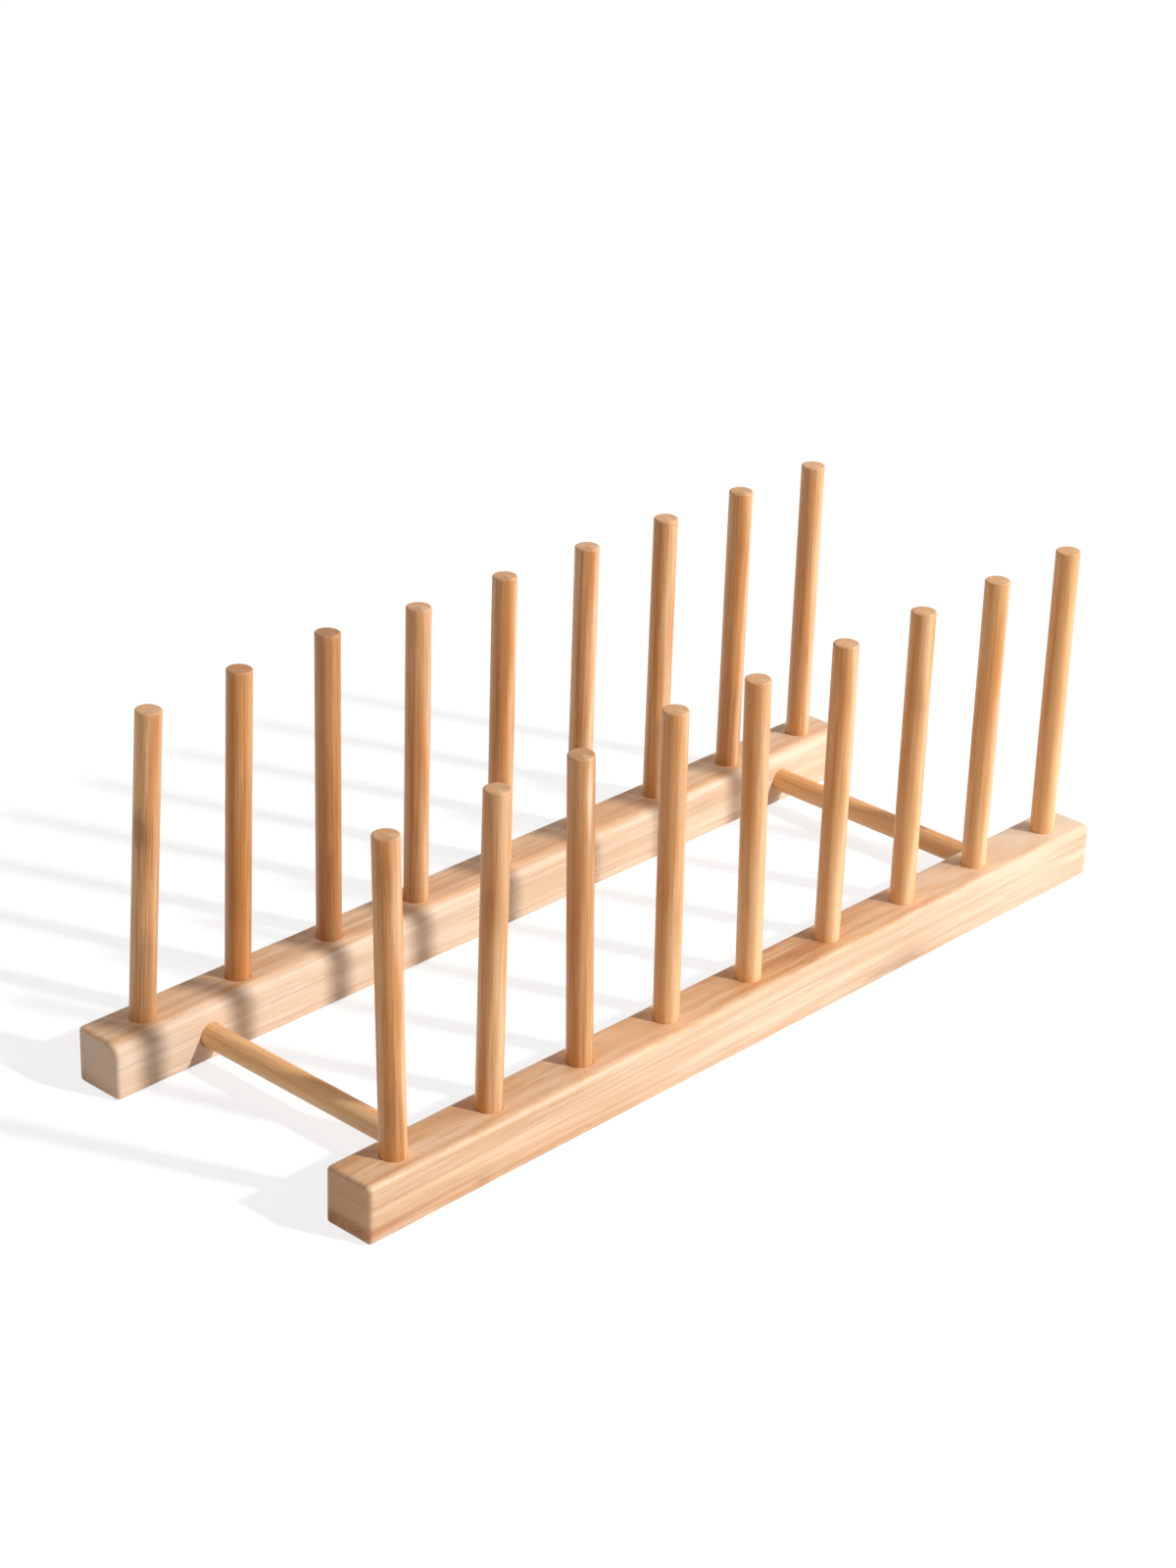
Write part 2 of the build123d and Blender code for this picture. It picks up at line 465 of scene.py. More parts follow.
def railMaterial():
    # Three strips glued one on the other, each with its own grain and tone.
    material, tree, shader = startMaterial("railBamboo")
    wood = railWood
    place, (seed, darkness, warmth), (lowestShare, topShare, mark) = readPiece(tree)
    axes = splitPlace(tree, place)
    waver = calc(tree, "SUBTRACT", noise(tree, place, 70.0, 30.0, 1.0), 0.5)
    level = addUp(tree, axes["Z"], (waver, wood["layerWaver"]))
    low, high = wood["layerTops"]
    strip = calc(tree, "ADD", calc(tree, "GREATER_THAN", level, low), calc(tree, "GREATER_THAN", level, high))
    # the seed is rounded, because reading it across a face leaves it off in its last digit
    seed = addUp(tree, strip, (calc(tree, "ROUND", seed), wood["stripSeed"]))
    draw = put(tree, "TexWhiteNoise", {"W": seed}, noise_dimensions="1D")
    drawn = put(tree, "SeparateColor", {0: draw.outputs["Color"]}).outputs
    slope = calc(tree, "MULTIPLY", calc(tree, "SUBTRACT", drawn["Green"], 0.5), wood["grainSlope"])
    spreadX, spreadY, spreadZ = wood["stripSpread"]
    jump = put(tree, "CombineXYZ", {
        "X": calc(tree, "MULTIPLY", drawn["Red"], spreadX),
        "Y": calc(tree, "MULTIPLY", drawn["Green"], spreadY),
        "Z": addUp(tree, calc(tree, "MULTIPLY", drawn["Blue"], spreadZ), (axes["X"], slope))})
    inStrip = addPlaces(tree, place, jump.outputs[0])

    fromLow, fromHigh = (calc(tree, "ABSOLUTE", calc(tree, "SUBTRACT", level, top)) for top in (low, high))
    line = rise(tree, calc(tree, "MINIMUM", fromLow, fromHigh), *wood["glueLine"], toLow=1.0, toHigh=0.0)
    shows = rise(tree, noise(tree, place, 45.0, 6.0), 0.32, 0.72, *wood["lineShows"])
    line = calc(tree, "MULTIPLY", line, shows)

    uneven = noise(tree, inStrip, 38.0, 1.6, 2.0, 0.55)
    ragged = calc(tree, "SUBTRACT", uneven, 0.5)
    above = calc(tree, "SUBTRACT", addUp(tree, level, (ragged, -wood["lowestRagged"])), low)
    soft, softerEnd = wood["lowestSoft"]
    softness = addUp(tree, soft, (readAttribute(tree, "endCut", "Fac"), softerEnd))
    lowest = rise(tree, calc(tree, "DIVIDE", above, softness), -1.0, 1.0, toLow=1.0, toHigh=0.0)
    lowest = calc(tree, "MULTIPLY", lowest, lowestShare)
    lowest = calc(tree, "MULTIPLY", lowest, rise(tree, uneven, 0.3, 0.65, 0.45, 1.15), clamp=True)

    patches = noise(tree, inStrip, 24.0, 4.0, 2.0, 0.55)
    onTop = calc(tree, "MULTIPLY", topShare, rise(tree, patches, 0.34, 0.66, 0.5, 1.4), clamp=True)
    patchy = calc(tree, "MULTIPLY", topShare, rise(tree, patches, 0.36, 0.64, *wood["topPatches"]))
    tone = addUp(tree, darkness, (calc(tree, "SUBTRACT", drawn["Red"], 0.5), wood["stripTone"]))
    dressWood(tree, shader, wood, inStrip, calc(tree, "ADD", tone, patchy), warmth, mark,
              [(lowest, wood["lowestTint"], "MULTIPLY"), (onTop, wood["topTint"], "MULTIPLY"),
               (line, wood["dark"], "MIX")],
              {"Streak Length": 60.0, "Streak Width": 2.3, "Blush Width": 3.4, "Blush Length": 50.0},
              {"Blush Strength": 0.5, "Bundle Strength": 0.24, "Fleck Strength": 0.26,
               "Fibre Strength": 0.1})
    return material


def rodMaterial(name, wood, grain, strengths):
    # A turned rod: its grain runs along its own axis. It is painted darker on one side, a painted shade, and
    # paler on another, painted light: on a peg a painted highlight on the side towards the key light, on a
    # dowel painted light on its shaded side.
    material, tree, shader = startMaterial(name)
    # outer is the share of painted shade, inner the share of painted light, mark that of knuckles and of
    # painted shade
    place, tone, (outer, inner, mark) = readPiece(tree)
    ragged = rise(tree, noise(tree, place, 40.0, 1.2, 2.0, 0.55), 0.3, 0.7, 0.5, 1.4)
    darkness = addUp(tree, tone["Y"], (calc(tree, "SUBTRACT", outer, inner), ragged))
    warmth = addUp(tree, tone["Z"], (inner, -wood["paintedLightGrey"]))
    dressWood(tree, shader, wood, place, darkness, warmth, mark, [], grain, strengths)
    return material


railBamboo = railMaterial()
pegBamboo = rodMaterial(
    "pegBamboo", pegWood,
    {"Streak Width": 1.1, "Streak Length": 55.0, "Blush Width": 2.2, "Blush Length": 60.0,
     "Cloud Width": 5.0, "Cloud Length": 70.0, "Bundle Spacing": 0.8},
    {"Blush Strength": 0.45, "Bundle Strength": 0.42, "Fleck Strength": 0.34, "Fibre Strength": 0.16,
     "Least Tan": 0.4})
dowelBamboo = rodMaterial(
    "dowelBamboo", dowelWood,
    {"Streak Width": 1.2, "Streak Length": 60.0, "Blush Width": 2.4, "Blush Length": 70.0,
     "Cloud Width": 5.0, "Cloud Length": 80.0, "Bundle Spacing": 0.8},
    {"Blush Strength": 0.5, "Bundle Strength": 0.38, "Fleck Strength": 0.3, "Fibre Strength": 0.16,
     "Least Tan": 0.2})
print("materials made")

# Pegs and dowels: rods whose rings follow the axis of their CAD solid.

rodLook = {
    "around": 64,
    "step": 2.5,  # mm between rings along the rod
    "footChamfer": 0.8,  # mm
    "tipRound": 0.0,  # mm, sanded edge of the tip, which has a chamfer where this is 0
    "tipDip": 0.0,  # mm, how far the tip's face falls off to one side
    "easedWithin": 0.8,  # mm in from the side, where the tip counts as an eased edge
    "faceRings": (0.4, 0.8),  # rings on the foot's and tip's faces, as shares of their edge
    "outOfRound": 0.05,  # mm, how far the surface falls inside a true cylinder
    "lobes": (np.pi, 2 * np.pi, 2 * np.pi / 3),  # radians from one hollow to the next
    "twist": 0.02,  # radians per mm by which they wind round the rod
    "spread": (700.0, 60.0, 60.0), # mm of cane within which the place of a rod is drawn
    "paintedShadeReach": 0.9,  # radians, half the width of the painted shade on one side of a rod
    "sway": 0.3,  # radians by which both sides sway along the rod
    "swayLengths": (120.0, 47.0),  # mm
    "markReach": 0.8,  # radians, half the width of a knuckle patch
    "wedgeReach": 0.3,  # radians, half the width of a pale wedge
    "wedges": {},
}

pegLook = {
    **rodLook,
    "tipRound": 0.6,
    "tipDip": 0.12,
    "paintedShadeAt": 210.0,  # degrees from +X, where the painted shade on the side away from the key light is turned
    "paintedShadeVaries": 18.0,  # degrees
    "paintedLightFrom": 64.0,  # degrees from the painted shade to the painted highlight on the side towards the key light
    "paintedLightReach": 0.42,  # radians, half the width of the painted highlight
    "footReach": 42.0,  # mm over which a paler foot, painted light on the far front pegs, turns to the peg's own tone
    # of each peg by its number from the near end: darkness, warmth, how dark its painted shade and how pale
    # its painted highlight is, and how much paler its foot is
    # front pegs 4 to 9 are painted paler, with paler feet: painted light reflected onto them
    "frontTones": [(0.05, 0.4, 0.1, 0.46, 0.0), (0.06, 0.2, 0.02, 0.34, 0.0),
                   (0.14, 0.3, 0.08, 0.12, 0.1), (0.0, 0.4, 0.06, 0.3, 0.4),
                   (-0.14, 0.4, 0.06, 0.35, 0.55), (-0.08, 0.4, 0.08, 0.35, 0.6),
                   (-0.16, 0.5, 0.08, 0.35, 0.5), (-0.06, 0.4, 0.06, 0.35, 0.55),
                   (-0.18, 0.5, 0.06, 0.35, 0.55)],
    # back pegs 2 and 3 are painted darker, with almost no painted highlight: painted shade
    "backTones": [(0.04, 0.1, 0.0, 0.08, 0.0), (0.24, 0.5, 0.0, 0.05, 0.0),
                  (0.32, 0.2, 0.02, 0.05, 0.0), (0.05, 0.1, 0.14, 0.4, 0.0),
                  (0.08, 0.3, 0.12, 0.35, 0.0), (0.0, 0.1, 0.14, 0.45, 0.0),
                  (-0.05, 0.3, 0.12, 0.4, 0.0), (0.05, 0.3, 0.12, 0.35, 0.0),
                  (-0.1, 0.2, 0.1, 0.4, 0.0)],
    # knuckle patches, and two long painted shadows: mm below the tip, degrees from +X, half their length in
    # mm, how dark
    "marks": {"frontPeg1": [(11.0, 210.0, 8.0, 0.5), (76.0, 60.0, 7.0, 0.6), (91.0, 240.0, 16.0, 0.4)],
              "frontPeg2": [(36.0, 215.0, 8.0, 0.65), (6.0, 225.0, 11.0, 0.3)],
              # the second patch on frontPeg3 is a painted shadow down its right side
              "frontPeg3": [(20.0, 300.0, 12.0, 0.6), (52.0, 305.0, 60.0, 0.35)],
              "frontPeg4": [(52.0, 100.0, 8.0, 0.6)],
              "frontPeg7": [(30.0, 240.0, 7.0, 0.4)],
              # the third patch on backPeg1 is a painted shadow down its right side
              "backPeg1": [(38.0, 195.0, 6.0, 1.5), (50.0, 215.0, 8.0, 0.5), (51.0, 290.0, 80.0, 0.4)],
              "backPeg2": [(44.0, 250.0, 12.0, 0.45), (72.0, 200.0, 14.0, 0.4)],
              "backPeg3": [(60.0, 265.0, 18.0, 0.5)],
              "backPeg6": [(64.0, 230.0, 8.0, 0.5)],
              "backPeg8": [(25.0, 30.0, 9.0, 0.6)]},
    # pale wedges, written the same way
    "wedges": {"frontPeg3": [(14.0, 262.0, 14.0, 0.7)]},
}

# Here angles are degrees from -X through the top, and lengths are counted from the front rail.
dowelLook = {
    **rodLook,
    # the pale side of a dowel is painted light on its shaded side, turned to -X away from the key light
    "paintedShadeAt": 325.0,
    "paintedShadeVaries": 20.0,
    "paintedLightFrom": 30.0,
    "paintedLightReach": 0.9,
    "footReach": 80.0,
    "tones": [(0.01, 0.55, 0.0, 0.4, 0.18), (-0.06, 0.55, 0.0, 0.3, 0.0)],
    # these patches are painted shade where the near dowel goes into the back rail
    "marks": {"nearCrossDowel": [(15.0, 10.0, 7.0, 0.25), (15.0, 90.0, 7.0, 0.3)]},
}


def rodProfile(length, radius, look):
    # Distance along the rod and radius there, from the foot's face to the tip's: a chamfer,
    # the straight side, then a quarter round, or a second chamfer where there is no round.
    chamfer = look["footChamfer"]
    eased = look["tipRound"] or chamfer
    foot = [(0.0, share * (radius - chamfer)) for share in look["faceRings"]]
    foot += [(0.0, radius - chamfer), (chamfer * 0.5, radius - chamfer * 0.5)]
    sideCells = max(2, round((length - chamfer - eased) / look["step"]))
    side = [(s, radius) for s in np.linspace(chamfer, length - eased, sideCells + 1)]
    if look["tipRound"]:
        tip = [(length - eased + eased * np.sin(a), radius - eased + eased * np.cos(a))
               for a in roundAngles]
    else:
        tip = [(length - eased * 0.5, radius - eased * 0.5), (length, radius - eased)]
    tip += [(length, share * (radius - eased)) for share in look["faceRings"][::-1]]
    return np.array(foot + side + tip)


wholeLength = 1e6  # mm, a spot so long that it is even along a rod


def spots(along, angle, places, halfAngle):
    # Soft spots on a rod: strength * exp(-(distance along / half length)^2 - (turn / half angle)^2),
    # added up over the given places.
    total = np.zeros(np.broadcast_shapes(along.shape, angle.shape))
    for at, degrees, halfLength, strength in places:
        turn = (angle - math.radians(degrees) + np.pi) % (2 * np.pi) - np.pi
        total = total + strength * np.exp(-((along - at) / halfLength) ** 2 - (turn / halfAngle) ** 2)
    return total


def buildRod(node, look, name, material, seed, tones):
    # Rings round the axis: centre + distance along it + radius in two directions square to it.
    # The radius falls a little inside the true cylinder by an amount that wanders along and round.
    foot, tip, direction, radius, upright = rodAxis(node)
    length = np.linalg.norm(tip - foot)
    profile = rodProfile(length, radius, look)
    along, trueRadii = profile[:, :1], profile[:, 1:]
    angle = np.arange(look["around"]) / look["around"] * 2 * np.pi
    sideways = np.cross([0.0, 1.0, 0.0] if upright else [0.0, 0.0, 1.0], direction)
    sideways /= np.linalg.norm(sideways)
    square = np.cross(direction, sideways)
    hollows = 0.5 + 0.5 * wander(angle + look["twist"] * along, seed, look["lobes"])
    radii = trueRadii - look["outOfRound"] * hollows * (trueRadii / radius)
    lean = np.cos(angle - seed) * trueRadii / radius
    dip = look["tipDip"] * 0.5 * (1 + lean) * (along > length - look["tipRound"] - 0.001)
    rings = (foot + (along - dip)[..., None] * direction
             + (radii * np.cos(angle))[..., None] * sideways
             + (radii * np.sin(angle))[..., None] * square)
    tipPole = foot + (length - look["tipDip"] * 0.5) * direction
    points, quads, tris = stackRings(rings, foot, tipPole)

    draw = np.random.default_rng(seed)
    offset = draw.uniform(0, 1, 3)
    inRod = (points - foot) @ np.stack([direction, sideways, square], 1)
    atTip = profile[:, 0] > length - look["tipRound"] - 0.01
    eased = atTip & (profile[:, 1] > radius - look["easedWithin"])
    edge = np.append(np.repeat(eased.astype(float), look["around"]), [0.0, 0.0])
    darkness, warmth, paintedShadeSide, paintedLightSide, paleFoot = tones
    # a paler foot: on the far front pegs this is painted light
    paler = paleFoot * np.exp(-(inRod[:, 0] / look["footReach"]) ** 2)
    tone = np.stack([np.zeros(len(points)), darkness - paler, np.full(len(points), warmth)], -1)
    paintedShadeAt = look["paintedShadeAt"] + look["paintedShadeVaries"] * draw.uniform(-1, 1)
    turned = angle + look["sway"] * wander(along, seed + 5, look["swayLengths"])
    # painted shade on the side turned away from the key light, and painted light a set angle round from it,
    # to which the pale grain wedges are added
    dark = spots(along, turned, [(0.0, paintedShadeAt, wholeLength, paintedShadeSide)], look["paintedShadeReach"])
    pale = spots(along, turned, [(0.0, paintedShadeAt + look["paintedLightFrom"], wholeLength, paintedLightSide)],
                 look["paintedLightReach"])
    pale += spots(length - along, angle, look["wedges"].get(name, []), look["wedgeReach"])
    mark = spots(length - along, angle, look["marks"].get(name, []), look["markReach"])
    shares = np.concatenate([np.stack([dark, pale, mark], -1).reshape(-1, 3), np.zeros((2, 3))])
    piece = makePiece(name, points, quads.reshape(-1, 4).tolist() + tris.tolist(),
                      inRod + offset * look["spread"], direction, edge, tone, shares, material)
    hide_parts(node)
    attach(piece, "root")


for rowName, firstSeed in (("front", 1), ("back", 41)):
    for number, tones in enumerate(pegLook[rowName + "Tones"]):
        buildRod(f"{rowName}_peg_{number + 1}", pegLook, f"{rowName}Peg{number + 1}", pegBamboo,
                 firstSeed + number, tones)
for number, endName in enumerate(("near", "far")):
    buildRod(f"{endName}_cross_dowel", dowelLook, f"{endName}CrossDowel", dowelBamboo,
             80 + number, dowelLook["tones"][number])
print("pegs and cross dowels built")

# Rails: a rounded section carried along the length, with blind bores for pegs and dowels.

railLook = {
    "edgeRound": 1.8,  # mm, sanded long edges
    "frontTopRound": 2.4,  # mm, outer top edge of the front rail
    "backTopRound": 5.4,  # mm, inner top edge of the back rail
    "largeRound": 4.0,  # mm, from which a round is large: it varies and wears less
    "roundVaries": 0.16,  # share by which a sanded edge narrows and widens
    "largeVaries": 0.048,
    "largeEased": 0.1,  # how much of an eased edge a large round is
    "roundWaves": (31.0, 73.0, 150.0),  # mm along the rail
    "leastRound": 0.05,  # mm of radius that is left where the ends are drawn in
    "endRound": 1.6,  # mm
    "endEased": 0.5,
    "endRings": (0.92, 0.6, 0.3),  # rings on an end's face, as shares of its outline
    "boreGap": 0.05,  # mm of glue round a peg or dowel
    "boreRim": 0.08,  # mm, broken edge of a bore
    "boreRings": (0.4, 0.75, 1.0), # rings round a bore, as shares of the way in from its block's outline
    "step": 1.05,  # mm between sections
    # half the length of rail round a bore in mm and its cells, then half its width and how far
    # below the face it may lie, both in mm
    "pegBlock": (6.0, 16, 6.3, 1.2),
    "dowelBlock": (5.25, 14, 5.3, 0.1),
    "cells": {"bottom": 14, "round": 7, "overRound": 12, "inner": 22, "top": 20, "outer": 20},
    "seeds": {"front_rail": (7, 31), "back_rail": (8, 77)},  # of the shape, and of the strips
    "grainSpread": 431.0,  # mm of cane from one rail to the next
    # place along the rail in mm, darkness and warmth there
    "tones": {"front_rail": [(-170, 0.13, -0.05), (-98, -0.04, -0.2), (0, -0.22, -0.5),
                             (100, -0.17, -0.5), (170, -0.14, -0.6)],
              "back_rail": [(-170, -0.2, -1.1), (-60, -0.2, -0.7), (170, -0.25, -0.5)]},
    # and what the top adds to them
    "topTones": {"front_rail": [(-170, -0.1, 0.0), (-130, -0.32, -0.1), (-90, -0.25, 0.1),
                                (-54, -0.9, 1.1), (-20, -0.3, 0.8), (22, 0.34, 1.1), (70, -0.2, 0.8),
                                (134, -0.85, 0.1), (170, -0.6, -0.8)],
                 "back_rail": [(-170, 0.0, 0.4), (170, 0.0, 0.4)]},
    "topBegins": 1.5,  # mm below the top, where its tone begins
    "topWithin": 1.4,  # mm over which it comes in
    "roundTone": 0.14,  # painted shade: darkness that the large round adds
    "roundRises": 2.5,  # times into the round, at which that is full
    # share of the darker lowest strip: at the near end's face, along the rest, and how fast it fades
    "lowestShare": {"front_rail": (0.75, 0.15), "back_rail": (0.3, 0.12)},
    "lowestFade": 40.0,  # mm
    # share of the tan on the top, and what is left of it at the far end
    "topShare": (1.0, 0.25),
    "topPales": 100.0,  # mm of rail over which it pales
    # knuckle patches: their middle in mm, half their length in mm, how dark
    "marks": {"front_rail": [(66.0, -64.2, 2.2, 20.0, 1.2), (72.0, -64.2, 2.0, 5.0, 0.4),
                             (68.0, -64.2, 11.0, 14.0, 0.4), (-125.0, -64.2, 2.5, 4.0, 0.45),
                             (-95.0, -64.2, 16.0, 30.0, 0.3), (20.0, -53.0, 19.0, 30.0, 0.22),
                             (60.0, -45.8, 12.0, 8.0, 0.4), (-95.0, -45.8, 6.0, 7.0, 0.4),
                             (105.0, -55.0, 0.0, 8.0, 0.4)],
              "back_rail": [(-60.0, 45.8, 6.0, 8.0, 0.4), (92.0, 45.8, 13.0, 7.0, 0.4),
                            (20.0, 58.0, 19.0, 9.0, 0.3), (-110.0, 64.2, 12.0, 8.0, 0.45),
                            (35.0, 64.2, 5.0, 7.0, 0.45), (128.0, 64.2, 14.0, 6.0, 0.35),
                            (-40.0, 55.0, 0.0, 8.0, 0.4)]},
    "markReach": 3.2,  # mm, half the height of a patch
    "layerShift": {"front_rail": 0.0, "back_rail": 1.6},  # mm by which the strips lie lower
}


def railStations(length, blocks):
    # Places of the sections along the rail: evenly spaced within each bore's block and about one
    # step apart between blocks, then closer round the eased ends. Also gives how far each section
    # is drawn in, and how much it is shrunk where it covers the end face.
    end = length / 2 - railLook["endRound"]
    pieces = []
    reached = -end
    for centre, half, cells in sorted(blocks):
        between = max(1, math.ceil((centre - half - reached) / railLook["step"]))
        pieces.append(np.linspace(reached, centre - half, between, endpoint=False))
        pieces.append(np.linspace(centre - half, centre + half, cells, endpoint=False))
        reached = centre + half
    between = max(1, math.ceil((end - reached) / railLook["step"]))
    pieces.append(np.linspace(reached, end, between + 1))
    straight = np.concatenate(pieces)
    outward = railLook["endRound"] * np.sin(roundAngles)
    inward = railLook["endRound"] * (1 - np.cos(roundAngles))
    face = np.array(railLook["endRings"])
    flat = np.ones(len(face))
    places = np.concatenate([-length / 2 * flat, -end - outward[::-1], straight, end + outward,
                             length / 2 * flat])
    drawn = np.concatenate([inward[-1] * flat, inward[::-1], 0 * straight, inward, inward[-1] * flat])
    shrunk = np.concatenate([face[::-1], np.ones(len(straight) + 2 * len(inward)), face])
    return places, drawn, shrunk


def railSection(width, height, rounds, drawn):
    # Outline of a rectangle with four rounded corners, drawn in evenly: flats are straight lines
    # between corner centres, and corners are centre + (radius - drawn) * (cos, sin). Where the
    # outline is drawn in by more than a radius, that corner takes the larger one.
    half = width / 2
    lowInner, topInner, topOuter, lowOuter = (np.maximum(radius, drawn + railLook["leastRound"])
                                              for radius in rounds)
    corners = [(half - lowInner, lowInner, lowInner),
               (half - topInner, height - topInner, topInner),
               (topOuter - half, height - topOuter, topOuter),
               (lowOuter - half, lowOuter, lowOuter)]

    def onCorner(corner, degrees):
        centreA, centreZ, radius = corner
        angle = np.radians(degrees)
        return centreA + (radius - drawn) * np.cos(angle), centreZ + (radius - drawn) * np.sin(angle)

    across, up, eased = [], [], []
    for k, flat in enumerate(("inner", "top", "outer", "bottom")):
        start = 90 * (k - 1)
        large = np.mean(corners[k][2]) > railLook["largeRound"]
        count = railLook["cells"]["overRound" if large else "round"]
        flatCount = railLook["cells"][flat]
        roundA, roundZ = onCorner(corners[k], start + 90 * np.arange(count) / count)
        fromA, fromZ = onCorner(corners[k], start + 90)
        toA, toZ = onCorner(corners[(k + 1) % 4], start + 90)
        share = np.arange(flatCount) / flatCount
        across += [roundA, fromA + (toA - fromA) * share]
        up += [roundZ, fromZ + (toZ - fromZ) * share]
        eased += [np.full(count, railLook["largeEased"] if large else 1.0), np.zeros(flatCount)]
    return np.concatenate(across, 1), np.concatenate(up, 1), np.concatenate(eased)


def fallOff(beyond, radius):
    # How far a rounded edge has fallen below the flat, at a distance beyond the flat's end.
    into = np.clip(beyond, 0, radius)
    return radius - np.sqrt(radius ** 2 - into ** 2)


def boreRings(outline, bore, level):
    # Rings from a block's outline to the mouth of a bore, over its broken edge, down its wall and
    # across its floor. Spokes join the bore's centre to the outline's points, so rings never cross.
    p, q, n = bore["axes"]
    mouth, radius, deep = bore["mouth"], bore["radius"], bore["depth"]
    spoke = outline[:, [p, q]] - mouth[[p, q]]
    away = np.linalg.norm(spoke, axis=1)
    spoke /= away[:, None]
    rim = railLook["boreRim"]
    rings = []
    for share in railLook["boreRings"]:
        distance = away * (1 - share) + (radius + rim) * share
        ring = np.zeros_like(outline)
        ring[:, [p, q]] = mouth[[p, q]] + spoke * distance[:, None]
        ring[:, n] = level(ring, q, n)
        rings.append(ring)
    # how deep each further ring lies in mm, and its share of the bore's radius
    for depth, share in ((rim, 1), (2.0, 1), (deep * 0.6, 1), (deep, 1), (deep, 0.5)):
        ring = np.tile(mouth + bore["inward"] * depth, (len(outline), 1))
        ring[:, [p, q]] += spoke * radius * share
        rings.append(ring)
    return np.array(rings), mouth + bore["inward"] * deep


def cutBore(bore, grid, keep, firstNew, level):
    # Leaves the block round a bore out of the faces kept, and gives the points and faces that close
    # the way from its outline down to the bore's floor. The new points are numbered from firstNew.
    mouth = bore["mouth"]
    p, q, n = bore["axes"]
    halfLength, cells, halfWidth, below = bore["block"]
    i0 = int(np.argmin(np.abs(grid[:, 0, p] - (mouth[p] - halfLength))))
    i1 = i0 + cells
    middle = grid[(i0 + i1) // 2]
    onFace = np.where((middle[:, n] > mouth[n] - below) & (np.abs(middle[:, q] - mouth[q]) < halfWidth))[0]
    j0, j1 = onFace.min(), onFace.max()
    keep[i0:i1, j0:j1] = False
    rows = np.concatenate([np.full(j1 - j0, i0), np.arange(i0, i1), np.full(j1 - j0, i1),
                           np.arange(i1, i0, -1)])
    columns = np.concatenate([np.arange(j0, j1), np.full(i1 - i0, j1), np.arange(j1, j0, -1),
                              np.full(i1 - i0, j0)])
    rings, floor = boreRings(grid[rows, columns], bore, level)
    ringNumbers = firstNew + np.arange(rings.shape[0] * rings.shape[1]).reshape(rings.shape[:2])
    loops = np.concatenate([[rows * grid.shape[1] + columns], ringNumbers])
    walls = loopFaces(loops).reshape(-1, 4).tolist()
    floorFan = fanFaces(loops[-1], firstNew + ringNumbers.size).tolist()
    return np.concatenate([rings.reshape(-1, 3), [floor]]), walls + floorFan


def alongRail(x, stations):
    # Darkness and warmth at each place along the rail, in straight lines between the stations.
    at, darkness, warmth = np.array(stations, float).T
    return np.stack([np.interp(x, at, darkness), np.interp(x, at, warmth)], -1)


def railTints(node, points, length, height):
    # Tone: seed, then the darkness and warmth of the rail and of its top, and the painted shade on its large
    # round, where the nearer of the distances into the round from the side and from the top counts.
    # Shares: the lowest strip's tint falls off as exp(-distance from the near end / fade); the
    # top's tan is full on the flat and pales towards the far end; knuckle patches are
    # strength * exp(-(x / half length)^2 - (y and z / reach)^2).
    x, y, z = points.T
    flatTop = np.clip((z - height + railLook["topBegins"]) / railLook["topWithin"], 0, 1)
    onRail = alongRail(x, railLook["tones"][node])
    onRail += flatTop[:, None] * alongRail(x, railLook["topTones"][node])
    # painted shade on the back rail's large round
    if node == "back_rail":
        big = railLook["backTopRound"]
        intoRound = np.minimum(z - height + big, y.min() + big - y) / big
        onRail[:, 0] += railLook["roundTone"] * np.clip(railLook["roundRises"] * intoRound, 0, 1)
    tone = np.concatenate([np.full((len(points), 1), railLook["seeds"][node][1]), onRail], 1)
    nearShare, restShare = railLook["lowestShare"][node]
    lowest = restShare + (nearShare - restShare) * np.exp(-(x + length / 2) / railLook["lowestFade"])
    fullShare, leftShare = railLook["topShare"]
    pales = np.clip((length / 2 - x) / railLook["topPales"], 0, 1)
    top = flatTop * (leftShare + (fullShare - leftShare) * pales)
    mark = np.zeros(len(points))
    for markX, markY, markZ, halfLength, strength in railLook["marks"][node]:
        across = ((y - markY) ** 2 + (z - markZ) ** 2) / railLook["markReach"] ** 2
        mark += strength * np.exp(-((x - markX) / halfLength) ** 2 - across)
    return tone, np.stack([lowest, top, mark], -1)


def findBore(rodNode, seat, spin, half, height):
    # The bore that holds a rod, in the rail's own place: where its mouth is, which way it goes in,
    # its radius and depth, and the axes along the rail, across it on the bore's face, and out of it.
    foot, tip, direction, radius, upright = rodAxis(rodNode)
    foot, tip, direction = (foot - seat) * spin, (tip - seat) * spin, direction * spin
    if upright:
        mouth = foot + direction * ((height - foot[2]) / direction[2])
        deepEnd = foot
    else:
        deepEnd = foot if abs(foot[1]) < abs(tip[1]) else tip
        mouth = np.array([deepEnd[0], half, deepEnd[2]])
    depth = np.linalg.norm(mouth - deepEnd)
    return {"mouth": mouth, "inward": (deepEnd - mouth) / depth, "depth": depth,
            "radius": radius + railLook["boreGap"], "axes": (0, 1, 2) if upright else (0, 2, 1),
            "block": railLook["pegBlock" if upright else "dowelBlock"]}


